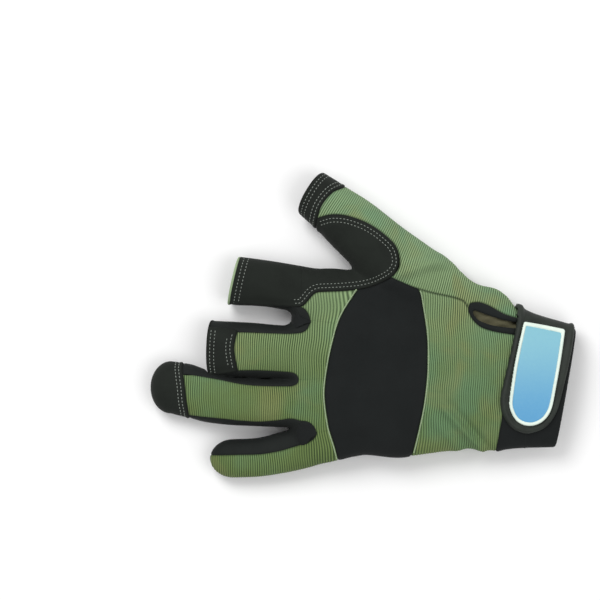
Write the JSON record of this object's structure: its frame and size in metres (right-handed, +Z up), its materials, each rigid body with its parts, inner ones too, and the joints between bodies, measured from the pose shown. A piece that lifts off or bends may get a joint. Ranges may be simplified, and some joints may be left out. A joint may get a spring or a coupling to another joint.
{
  "type": "fingerless work glove",
  "caption": "Left-hand work glove lying palm down, with cut-off thumb, index and middle fingers, closed ring and little fingers, and a strapped cuff.",
  "frame": {"origin": "middle of the glove's footprint, on the surface that it lies on", "axes": "-X towards the fingertips, +X towards the cuff, +Y towards the thumb, +Z up, away from the palm"},
  "size_m": [0.2424, 0.1736, 0.0285],
  "materials": {
    "knit": "fine ribbed stretch knit, matt",
    "leather": "synthetic suede leather, matt",
    "neoprene": "foam-backed stretch fabric, matt",
    "gusset": "smooth stretch fabric",
    "binding": "folded binding tape",
    "strap": "moulded rubber over hook-and-loop webbing, satin",
    "badge_white": "moulded rubber, satin",
    "badge_blue": "moulded rubber, satin, paler towards the thumb side"
  },
  "bodies": {
    "root": {"vent_binding": "binding", "thumb_end_band": "leather", "middle_end_band": "leather", "ring_tip_cap": "leather", "web_and_index_leather": "leather", "knuckle_pad": "neoprene", "gusset_index_middle": "gusset", "gusset_middle_ring": "gusset", "gusset_ring_little": "gusset", "thumb_back": "knit", "finger_backs": "knit", "hand_back": "knit", "palm_leather": "leather", "thenar_patch": "leather", "heel_patch": "leather", "cuff": "neoprene", "strap": "strap", "badge_border": "badge_white", "badge_face": "badge_blue"}
  },
  "joints": []
}
